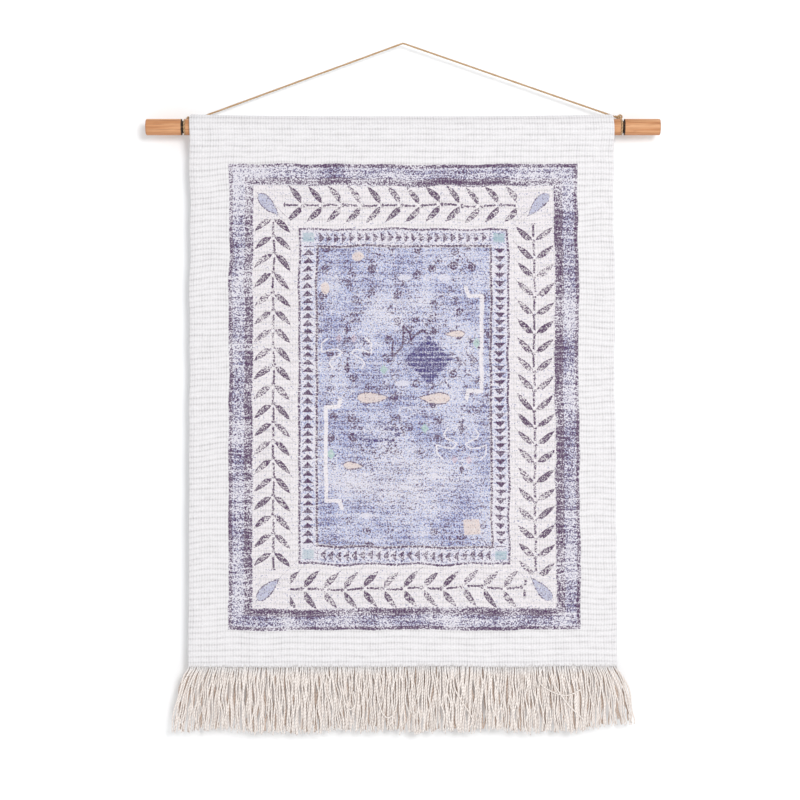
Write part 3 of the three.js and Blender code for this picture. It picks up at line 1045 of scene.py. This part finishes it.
def scatterInk(m, place):
    # small dark rosettes on a jittered lattice, and sprigs along the middle line of a noise
    tree = m.tree
    pitch = marks["flowerPitch"]
    flower = node(tree, "ShaderNodeTexVoronoi", feature="F1", distance="EUCLIDEAN",
                  voronoi_dimensions="2D")
    tree.links.new(place, flower.inputs["Vector"])
    flower.inputs["Scale"].default_value = 1 / pitch
    flower.inputs["Randomness"].default_value = 0.8
    chosen = split(tree, flower.outputs["Color"])
    reach = m.mul(flower.outputs["Distance"], pitch)
    ring = m.fall(m.size(m.sub(reach, 3.0)), 0.8, 1.5)
    ringPart = m.rise(noise(tree, place, 0.42, shift=21.0), 0.36, 0.5)
    rosette = m.most(m.mul(ring, ringPart), m.fall(reach, 1.1, 2.0))
    rosette = m.mul(rosette, m.rise(chosen[0], 0.3, 0.34))
    sprig = noise(tree, place, 0.1, (1.0, 1.2, 1), 2, 0.55, 31.0)
    sprigLine = m.fall(m.size(m.sub(sprig, 0.5)), 0.016, 0.04)
    sprigPart = m.rise(noise(tree, place, 0.055, shift=17.0), 0.5, 0.58)
    return m.most(m.mul(rosette, m.add(0.72, m.mul(chosen[1], 0.4))),
                  m.mul(m.mul(sprigLine, sprigPart), 0.88))


def makeFieldGroup():
    # the marks in the field: how much ink, and masks of the coloured ones
    masks = ("Ink", "Indigo", "Peach", "Moss", "Rose", "Cream", "Pale")
    tree, given, out = startGroup("fieldPrint", placeInputs() + [("Place", "Vector", None)],
                                  [(name, "Float") for name in masks])
    place = given["Place"]
    fieldY = calc(tree, "ADD", given["Y"], marks["shiftDown"])
    m = Shapes(tree, given["X"], fieldY)
    turned = Shapes(tree, m.size(m.x), m.mul(fieldY, m.sign(m.x)))
    # a hatched diamond with a loose zigzag; its twin is nearly worn away
    diamond = m.lozenge(*marks["diamond"])
    twinPart = m.rise(noise(tree, place, 0.07, (0.5, 1.4, 1), 2, 0.6, 61.0), 0.4, 0.62)
    twin = m.mul(m.lozenge(*marks["wornDiamond"]), twinPart)
    indigo = m.most(m.mul(diamond, 0.93), m.mul(twin, 0.76))
    ink = m.most(indigo, m.lines(marks["zigzag"], 1.1), m.mul(m.lines(marks["curl"], 0.9), 0.86),
                 m.mul(m.lines(marks["spray"], 0.9), 0.74))
    # the scatter keeps clear of the diamond and thins out in the lower part
    thin = m.mul(m.fall(m.size(m.add(fieldY, 92.0)), 20.0, 50.0), 0.55)
    scatter = m.mul(scatterInk(m, place), m.sub(1.0, m.most(diamond, thin)))
    ink = m.most(ink, scatter, m.add(0.16, m.mul(given["Dense"], 0.22)))
    # drops, ovals, squares and lozenges
    drops = [turned.petal(*values) for values in marks["turnedDrops"]]
    tilted = Shapes(tree, m.add(m.x, m.mul(fieldY, 0.05)), m.sub(fieldY, m.mul(m.x, 0.05)))
    peach = m.most(*[drop["Fill"] for drop in drops], tilted.box(*marks["tiltedSquare"]),
                   *[m.oval(*values)["Fill"] for values in marks["peachOvals"]])
    pale = m.most(*[m.oval(*values)["Fill"] for values in marks["paleOvals"]],
                  m.oval(*marks["paleRing"])["Edge"])
    moss = m.most(*[turned.lozenge(*values) for values in marks["turnedLozenges"]])
    # a winged scroll, the same on both sides of its middle
    scrollX, scrollY = marks["scrollAt"]
    wing = Shapes(tree, m.size(m.sub(turned.x, scrollX)), m.sub(turned.y, scrollY))
    rose = wing.lozenge(*marks["rose"])
    buds = m.most(*[wing.lozenge(*values) for values in marks["buds"]])
    cream = m.most(m.mul(wing.lines(marks["scroll"], 0.8), 0.95), turned.lines(marks["bracket"], 2.0))
    # the coloured marks lie clear of the ink, apart from the drops' own edges
    clear = m.sub(1.0, m.mul(m.most(peach, pale, moss, cream), 0.85))
    edges = m.mul(m.most(*[drop["Edge"] for drop in drops]), 0.74)
    ink = m.most(m.mul(m.most(ink, m.mul(buds, 0.9)), clear), edges)
    for name, value in zip(masks, (ink, indigo, peach, moss, rose, cream, pale)):
        tree.links.new(value, out[name])
    return tree


def makePrintGroup():
    # the printed pattern on the flat cloth, worn thin in streaks. Ink skips the valleys between ribs.
    tree, given, out = startGroup("wornPrint", [("Place", "Vector", None), ("Valley", "Float", 0.0)],
                                  [("Color", "Color"), ("Printed", "Float"), ("Ink", "Float")])
    m = Maths(tree)
    at = useGroup(tree, makePlaceGroup(), Place=given["Place"])
    speck, dense, deep, frameDeep = (at[name] for name in ("Speck", "Dense", "Deep", "Frame Deep"))
    shared = {name: at[name] for name, _, _ in placeInputs()}
    vine = useGroup(tree, makeVineGroup(), Place=given["Place"], **shared)
    inner = useGroup(tree, makeFrameGroup(), **shared)
    fieldMarks = useGroup(tree, makeFieldGroup(), Place=given["Place"], **shared)

    def ink(amount, soft=0.26):
        # how much of the surface the speckle covers at this amount
        amount = m.sub(amount, m.mul(given["Valley"], 0.42))
        return m.rise(m.sub(m.add(speck, amount), 1.0), -soft, soft)

    def paint(under, amount, over):
        return tint(tree, amount, under, prints[over])

    # grounds, from the outside in
    band = m.within(deep, 0.5, prints["band"], 0.6)
    strip = inner["Strip"]
    field = m.rise(frameDeep, prints["strip"][1] - 0.5, prints["strip"][1] + 0.5)
    shade = paint(prints["white"], m.rise(deep, prints["band"] - 1, prints["band"]), "cream")
    shade = paint(shade, m.mul(band, 0.8), "lavenderWhite")
    bandBlue = tint(tree, dense, prints["blue"], prints["deepBlue"])
    shade = tint(tree, ink(m.mul(band, m.add(0.28, m.mul(dense, 0.6)))), shade, bandBlue)
    shade = paint(shade, m.mul(strip, 0.85), "lavenderWhite")
    shade = paint(shade, ink(m.mul(strip, m.add(0.1, m.mul(dense, 0.5)))), "blue")
    # the field pales in two wide patches
    x, y = at["X"], at["Y"]
    patches = []
    for x0, y0, wide, high, share in ((6, 84, 62, 34, 0.5), (-6, -84, 92, 46, 0.85)):
        far = m.add(m.size(m.div(m.sub(x, x0), wide)), m.size(m.div(m.sub(y, y0), high)))
        patches.append(m.mul(m.fall(far, 0.3, 1.25), share))
    palePatch = m.most(*patches)
    fieldBlue = tint(tree, ink(m.sub(m.add(0.2, m.mul(dense, 0.62)), m.mul(palePatch, 0.3))),
                     prints["blue"], prints["deepBlue"])
    paler = m.add(m.sub(0.72, m.mul(dense, 0.45)), m.mul(palePatch, 0.42))
    flecks = noise(tree, given["Place"], 0.9, (0.9, 0.9, 1), 2, 0.6, 70.0)
    paler = m.rise(m.add(m.rise(flecks, 0.36, 0.64), paler), 0.8, 1.4)
    fieldBlue = paint(fieldBlue, paler, "lavenderWhite")
    shade = tint(tree, field, shade, fieldBlue)

    # coloured marks
    for name, shadeName, share in (("Pale", "lavenderWhite", 0.66), ("Peach", "peach", 0.82),
                                   ("Moss", "moss", 0.8), ("Rose", "rose", 0.7),
                                   ("Cream", "cream", 0.92)):
        shade = paint(shade, m.mul(m.mul(fieldMarks[name], field), share), shadeName)
    shade = paint(shade, m.mul(inner["Square"], m.add(0.5, m.mul(dense, 0.4))), "teal")
    shade = paint(shade, m.mul(vine["Drop"], 0.85), "slate")

    # plum ink: the band's two edges, the vines, the frame and the field's marks
    edges = m.most(m.within(deep, 0.2, 4.4, 0.5), m.within(deep, 15.0, prints["band"], 0.7))
    amount = m.most(m.mul(edges, m.add(0.46, m.mul(dense, 0.6))),
                    m.mul(band, m.add(0.24, m.mul(dense, 0.42))),
                    m.mul(vine["Ink"], m.add(0.88, m.mul(dense, 0.16))),
                    m.mul(inner["Ink"], m.sub(1.0, field)),
                    m.mul(fieldMarks["Ink"], m.mul(field, m.add(0.88, m.mul(dense, 0.2)))))
    amount = m.mul(amount, m.sub(1.0, m.mul(inner["Square"], 0.7)))
    amount = m.sub(amount, m.mul(m.mul(fieldMarks["Indigo"], given["Valley"]), 0.5))
    inkShare = ink(amount)
    inkShade = tint(tree, m.mul(fieldMarks["Indigo"], field), prints["plum"], prints["indigo"])
    shade = tint(tree, inkShare, shade, inkShade)
    # yarn crowns that have lost their colour, as pale flecks all over
    bare = ramp(tree, noise(tree, given["Place"], 0.8, (0.9, 1.0, 1), 2, 0.6, 40.0), 0.55, 0.66, 0.0, 0.75)
    bare = m.mul(bare, m.sub(1.0, m.most(m.mul(dense, 0.5), m.mul(inkShare, 0.6))))
    shade = paint(shade, bare, "white")
    onPrint = m.rise(deep, 0.0, 1.2)
    shade = tint(tree, onPrint, prints["white"], shade)
    tree.links.new(shade, out["Color"])
    tree.links.new(m.mul(m.most(band, strip, field), onPrint), out["Printed"])
    tree.links.new(m.mul(inkShare, onPrint), out["Ink"])
    return tree


def makeClothMaterial():
    material, tree, shader = newMaterial("printedRibCloth", 0.95, 0.12, 0.2)
    m = Maths(tree)
    place = attribute(tree, "clothPlace")
    weave = useGroup(tree, weaveGroup, Place=place)
    printed = useGroup(tree, makePrintGroup(), Place=place, Valley=weave["Valley"])
    # the cloth's back shows only a ghost of the print
    through = ramp(tree, split(tree, place)[2], 0.4, 0.6, 1.0, 0.1)
    shade = tint(tree, through, prints["white"], printed["Color"])
    # painted shade in the valleys between ribs and in the warp lines: grey on the plain cloth; where the
    # ground is printed, the bare yarn that the ink skipped shows pale
    thin = ramp(tree, printed["Ink"], 0.2, 0.9, 1.0, 0.45)
    for name, share, plain, dyed in (("Valley", 0.56, (160, 157, 158), (216, 213, 222)),
                                     ("Warp", 0.34, (168, 165, 167), (206, 203, 214))):
        bareYarnAndPaintedShade = tint(tree, printed["Printed"], colour(*plain), colour(*dyed))
        shade = tint(tree, m.mul(m.mul(weave[name], share), thin), shade, bareYarnAndPaintedShade)
    grainShare = m.mul(ramp(tree, weave["Grain"], 0.36, 0.72, 0.0, 0.34), thin)
    shade = tint(tree, grainShare, shade, colour(198, 196, 198))
    tree.links.new(shade, shader.inputs["Base Color"])
    tree.links.new(ramp(tree, weave["Grain"], 0.2, 0.8, 0.98, 0.86), shader.inputs["Roughness"])
    addBump(tree, shader, weave["Height"], 0.00055)
    return material


clothPiece = makeClothMesh(makeClothMaterial())
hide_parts("tapestry_cloth")
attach(clothPiece, "cloth")
say("cloth made, %.1f mm long" % (clothLength / mm))

fringe = {
    "length": 62.6 * mm,
    "steps": 26,
    "sides": 7,
    "radius": 0.77 * mm,
    "flare": 14.5 * mm,  # how far the outermost yarns lean out
    "farthest": (-0.2290, 0.2285),
    "drift": 7.0 * mm,  # whole bunches, to and fro
    "wander": 1.6 * mm,  # each yarn by itself
    "splay": 2.4 * mm,
    "swing": 0.5 * mm,
    # name, yarns, seed, how far back, thickness, how much shorter, the height of its roots
    "layers": [
        ("fringeFront", 204, 71, -2.0 * mm, 1.0, 0.0, 3.8 * mm),
        ("fringeMiddle", 192, 73, -0.5 * mm, 1.0, 0.5 * mm, 2.4 * mm),
        ("fringeBack", 156, 72, 1.2 * mm, 1.25, 1.6 * mm, 1.2 * mm),
    ],
}


def joinFringe(piece):
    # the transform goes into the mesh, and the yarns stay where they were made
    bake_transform(piece)


def makeFringe(name, count, seed, depth, thick, trim, rootHigh):
    # Each yarn hangs from its own place along the foot. Its x is that place + the flare, the
    # gathering into bunches, the drift, its own wander and a splay that grows towards its end.
    rng = np.random.default_rng(seed)
    share = (np.arange(count) + 0.5) / count
    u = np.clip(share + rng.normal(0, 0.22 / count, count), 0.003, 0.997)
    left, right = clothEdges(np.zeros(1))
    startX = left + (right - left) * u
    centred = 2 * u - 1
    t = np.linspace(0, 1, fringe["steps"]) ** 0.85
    root = rootHigh * rng.uniform(0.45, 1.0, count)
    length = (fringe["length"] + 1.3 * mm * np.sin(startX / 0.021 + 0.6)
              + 1.1 * mm * np.sin(startX / 0.0083) + rng.normal(0, 1.3 * mm, count) - trim + root)
    length = length - 5.5 * mm * np.clip(centred - 0.7, 0, 1) / 0.3
    along = length[:, None] * t[None]
    below = np.clip(along - root[:, None], 0, None)
    spread = 1 - np.exp(-below / (13 * mm))
    lean = np.sign(centred) * fringe["flare"] * np.abs(centred) ** 5
    # yarns of a bunch draw together under the cloth, then part again towards their ends
    bunchWidth = rng.uniform(6.5, 9.0) * mm
    bunchAt = (startX / bunchWidth + 0.4 * np.sin(startX / 0.017 + seed)) % 1.0 - 0.5
    gather = -bunchAt * bunchWidth * 0.26
    gathered = np.clip(below / (12 * mm), 0, 1) ** 0.8 * (1 - 0.9 * np.clip((t[None] - 0.3) / 0.7, 0, 1))
    drift = fringe["drift"] * gentle(startX, 0.0, seed + 7, 7, 0.09, 0.018)
    own = wander(rng, (count, fringe["steps"]), 3, along, 22 * mm, 56 * mm)
    own = own * np.clip(below / (8 * mm), 0, 1)
    x = (startX[:, None] + lean[:, None] * spread * (0.75 + 0.25 * t[None]) + gather[:, None] * gathered
         + drift[:, None] * (below / fringe["length"]) ** 1.2 + fringe["wander"] * own
         + rng.normal(0, fringe["splay"], count)[:, None] * t[None] ** 1.7)
    x = np.clip(x, *fringe["farthest"])
    swing = wander(rng, (count, fringe["steps"]), 2, along, 22 * mm, 60 * mm)
    swing = swing * np.clip(below / (10 * mm), 0, 1)
    face = clothWave(startX, 0 * startX)[:, None] * np.clip(1 - below / (30 * mm), 0, 1)
    depth = depth * (0.72 + 0.28 * np.clip(below / (8 * mm), 0, 1))
    y = axisY + face + depth + fringe["swing"] * swing
    z = footZ + root[:, None] - along + footShape(startX, u)[:, None]
    paths = np.stack([x, y, z], -1)
    taper = (0.45 + 0.55 * np.clip(t[None] / 0.08, 0, 1)) * (1 - 0.25 * t[None] ** 6)
    radii = fringe["radius"] * thick * rng.uniform(0.84, 1.14, count)[:, None] * taper
    # the back layer takes the darker yarn copy, which is painted shade
    material = shadedInnerYarnMaterial if name == "fringeBack" else fringeMaterial
    piece = yarnPiece(name, paths, radii, material, sides=fringe["sides"])
    joinFringe(piece)
    return piece


strays = {
    "radius": 0.76 * mm,
    "forward": 3.6 * mm,
    # a few yarns that crossed their neighbours: points in mm from the middle of the cloth's foot
    "lines": [
        [(-62, -2), (-60, -22), (-57, -38), (-52, -44), (-47, -38), (-49, -26)],
        [(-24, -2), (-26, -24), (-22, -44), (-16, -52), (-10, -50)],
        [(52, -3), (50, -20), (58, -36), (68, -52), (66, -62)],
        [(138, -2), (134, -16), (146, -26), (162, -30), (176, -24)],
        [(146, -3), (150, -20), (162, -38), (174, -50), (180, -56)],
    ],
}


def makeStrays():
    paths = []
    for points in strays["lines"]:
        corners = np.array([[x, 0, z] for x, z in points], dtype=float) * mm
        corners += np.array([0, axisY - strays["forward"], footZ + 0.001])
        corners[0, 1] = axisY - 0.0004
        paths.append(smoothPath(corners, 30))
    piece = yarnPiece("fringeStrays", np.array(paths), strays["radius"], fringeMaterial, sides=8,
                      plies=2, twist=2 * math.pi / 0.003, groove=0.14)
    joinFringe(piece)
    return piece


fringePieces = [makeFringe(*layer) for layer in fringe["layers"]] + [makeStrays()]
bunchNames = sorted(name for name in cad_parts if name.startswith("fringe_bunch"))
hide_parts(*bunchNames)
say("fringe made")

stitch = {"length": 3.1 * mm, "every": 3.9 * mm, "radius": 0.24 * mm}


def makeStitches(name, nodeName, starts, direction, out):
    # each stitch is a short arch: it dives into the cloth at both ends
    starts = np.asarray(starts)
    t = np.linspace(-1, 1, 7)
    arch = (1 - t**2) ** 0.5
    rng = np.random.default_rng(len(name) + len(starts))
    skew = rng.normal(0, 0.05, (len(starts), 1, 1)) * np.cross(direction, out)
    paths = (starts[:, None] + (np.asarray(direction) + skew) * (t[None, :, None] * stitch["length"] / 2)
             + np.asarray(out) * (arch[None, :, None] * 0.00045 - 0.00035))
    piece = yarnPiece(name, paths, stitch["radius"], threadMaterial, sides=6, reference=out)
    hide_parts(nodeName)
    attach(piece, "cloth")
    return piece


def backSurface(u, v, extra=0.0):
    return clothPoint(u, v, -(cloth["crest"] + extra))


def allStitches():
    made = []
    alongX, up, back = (1, 0, 0), (0, 0, 1), (0, 1, 0)
    wide = np.arange(0.012, 0.99, stitch["every"] / cloth["width"])
    seamRun = clothLength - cloth["allowance"] + 0.0012
    # the back of the pocket's allowance is the cloth's printed side turned over
    starts = clothPoint(wide, np.full_like(wide, seamRun), cloth["crest"])
    made.append(makeStitches("pocketSeamStitches", "pocket_seam_thread", starts, alongX, back))
    starts = backSurface(wide, np.full_like(wide, 0.0042))
    made.append(makeStitches("stayStitches", "stay_stitch_thread", starts, alongX, back))
    tall = np.arange(0.008, 0.462, stitch["every"])
    inset = (cloth["hem"] + 0.6 * mm) / cloth["width"]
    for word, share in (("left", inset), ("right", 1 - inset)):
        starts = backSurface(np.full_like(tall, share), tall, 0.0001)
        made.append(makeStitches(word + "HemStitches", word + "_hem_thread", starts, up, back))
    return made


stitchPieces = allStitches()
say("stitches made")


def stagePlane(name, corners, material):
    pieceFromArrays(name, np.array(corners), [(0, 1, 2, 3)], material, smooth=False)


def makeStageMaterial(name, shade):
    # plain and matt, and seen only from its front, so that it hides nothing from other sides
    material, tree, shader = newMaterial(name, 1.0, 0.0)
    shader.inputs["Base Color"].default_value = shade
    rays = node(tree, "ShaderNodeLightPath")
    facing = node(tree, "ShaderNodeNewGeometry")
    clear = node(tree, "ShaderNodeBsdfTransparent")
    behind = calc(tree, "MULTIPLY", rays.outputs["Is Camera Ray"], facing.outputs["Backfacing"])
    hidden = calc(tree, "MAXIMUM", behind, rays.outputs["Is Shadow Ray"])
    mixed = node(tree, "ShaderNodeMixShader")
    tree.links.new(hidden, mixed.inputs[0])
    tree.links.new(shader.outputs[0], mixed.inputs[1])
    tree.links.new(clear.outputs[0], mixed.inputs[2])
    tree.links.new(mixed.outputs[0], tree.nodes["Material Output"].inputs["Surface"])
    return material


room = {
    "wallY": 0.012,
    "floorZ": -0.95,
    "side": 3,  # how far the wall and floor reach to each side
    "wallTop": 2.5,
    "floorReach": 3.5,
    "ambient": 0.65,
    # name, place, what it points at, size and power
    "lights": [
        ("keyLight", (0.74, -2.66, 0.26), (0, 0, -0.35), 0.75, 36.5),
        ("backLight", (-1.4, 2.4, 0.9), (0, 0, -0.35), 1.2, 34.0),
    ],
}
side, wallY, floorZ = room["side"], room["wallY"], room["floorZ"]
wallTop, reach = room["wallTop"], room["floorReach"]
stagePlane("backWall",
           [(-side, wallY, floorZ), (side, wallY, floorZ), (side, wallY, wallTop), (-side, wallY, wallTop)],
           makeStageMaterial("plainWall", (0.94, 0.95, 0.96, 1)))
stagePlane("paleFloor",
           [(-side, -reach, floorZ), (side, -reach, floorZ), (side, reach, floorZ), (-side, reach, floorZ)],
           makeStageMaterial("plainFloor", (0.86, 0.86, 0.86, 1)))


def addLight(name, place, aim, size, power):
    lamp = bpy.data.lights.new(name, "AREA")
    lamp.energy = power
    lamp.size = size
    holder = bpy.data.objects.new(name, lamp)
    holder.location = place
    holder.rotation_euler = (Vector(aim) - Vector(place)).to_track_quat("-Z", "Y").to_euler()
    bpy.context.scene.collection.objects.link(holder)


for lightValues in room["lights"]:
    addLight(*lightValues)

world = bpy.data.worlds.new("softRoom")
bpy.context.scene.world = world
world.use_nodes = True
worldTree = world.node_tree
rays = node(worldTree, "ShaderNodeLightPath")
strength = calc(worldTree, "MAXIMUM", rays.outputs["Is Camera Ray"], room["ambient"])
worldTree.links.new(strength, worldTree.nodes["Background"].inputs["Strength"])
worldTree.nodes["Background"].inputs["Color"].default_value = (1, 1, 1, 1)
say("stage and lights made")
